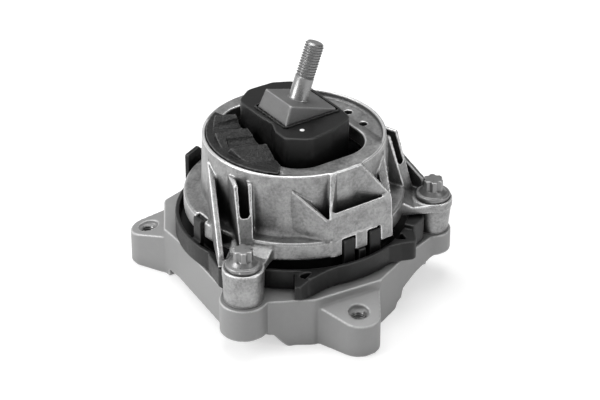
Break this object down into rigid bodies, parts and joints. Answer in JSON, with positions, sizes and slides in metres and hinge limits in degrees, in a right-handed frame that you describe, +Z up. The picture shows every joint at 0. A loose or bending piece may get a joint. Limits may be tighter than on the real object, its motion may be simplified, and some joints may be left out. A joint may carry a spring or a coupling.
{
  "type": "engine mount",
  "caption": "Hydraulic engine mount: die-cast drum housing with leaning stud, rubber stops, clip ring, flange screws and a cast bracket with threaded fixing lugs.",
  "frame": {"origin": "on the drum axis, level with the undersides of the three fixing lugs", "axes": "+Z up along the drum axis, +X the way the stud leans in plan, +Y across it"},
  "size_m": [0.1899, 0.2091, 0.1616],
  "materials": {
    "bracket_aluminium": "fine blasted casting",
    "housing_aluminium": "mottled die casting, bright edges",
    "black_plastic": "satin moulded",
    "core_aluminium": "blasted casting",
    "stud_steel": "zinc plated",
    "sleeve_rubber": "satin",
    "buffer_rubber": "dusty, worn",
    "spring_rubber": "matte",
    "ring_steel": "phosphated",
    "channel_plastic": "moulded",
    "membrane_rubber": "matte",
    "cup_steel": "black coated",
    "screw_steel": "grey zinc flake"
  },
  "bodies": {
    "root": {"base_bracket": "bracket_aluminium", "upper_housing": "housing_aluminium", "clip_ring": "black_plastic", "core": "core_aluminium", "stud": "stud_steel", "stop_sleeve": "sleeve_rubber", "stop_buffer": "buffer_rubber", "rubber_spring": "spring_rubber", "spring_ring": "ring_steel", "upper_channel_plate": "channel_plastic", "lower_channel_plate": "channel_plastic", "decoupler_membrane": "membrane_rubber", "rolling_diaphragm": "membrane_rubber", "bottom_cup": "cup_steel", "flange_screws": "screw_steel"}
  },
  "joints": []
}
